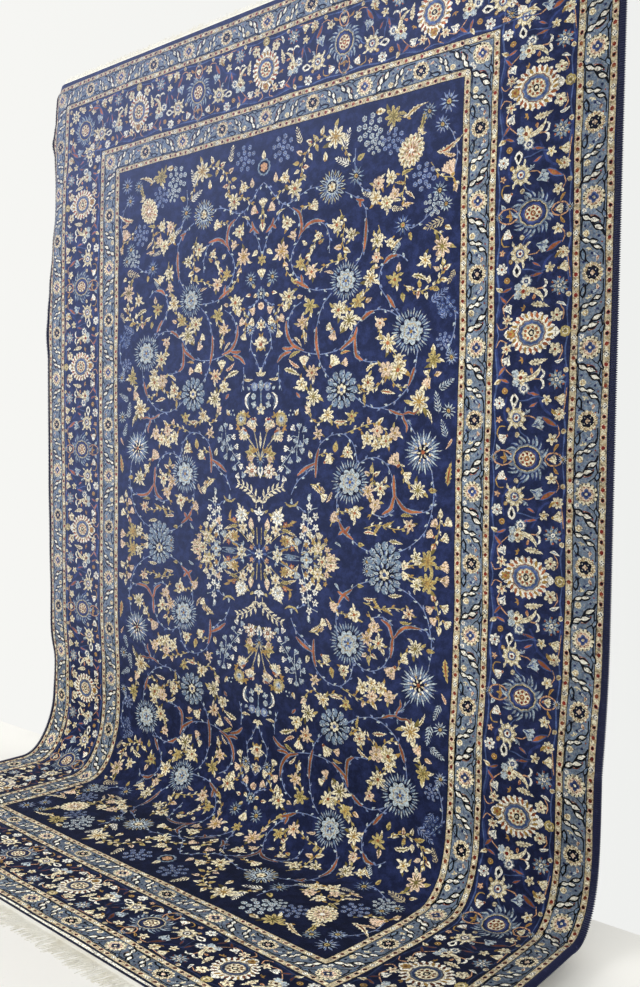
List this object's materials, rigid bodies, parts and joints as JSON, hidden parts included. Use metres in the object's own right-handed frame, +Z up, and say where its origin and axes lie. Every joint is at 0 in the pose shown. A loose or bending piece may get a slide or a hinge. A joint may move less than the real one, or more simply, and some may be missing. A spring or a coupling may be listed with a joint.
{
  "type": "persian rug",
  "caption": "Large knotted wool rug with a floral field and banded borders, hung by its top edge and swept out over the floor, with short warp fringes.",
  "frame": {"origin": "on the underside of the part of the rug that lies on the floor, at mid width", "axes": "+X to the right along the rug's width, -Y the way the pile faces and the rug runs out over the floor, +Z up"},
  "size_m": [2.7678, 1.1284, 3.0349],
  "materials": {
    "knotted_wool": "cut wool pile, navy ground with cream, gold, rust and light blue flowers",
    "overcast_wool": "wool yarn wound round the side cords, dark navy",
    "cotton_warp": "undyed cotton, matt"
  },
  "bodies": {
    "root": {"rug": "knotted_wool", "selvedge_left": "overcast_wool", "selvedge_right": "overcast_wool", "fringe_top": "cotton_warp", "fringe_bottom": "cotton_warp"}
  },
  "joints": []
}
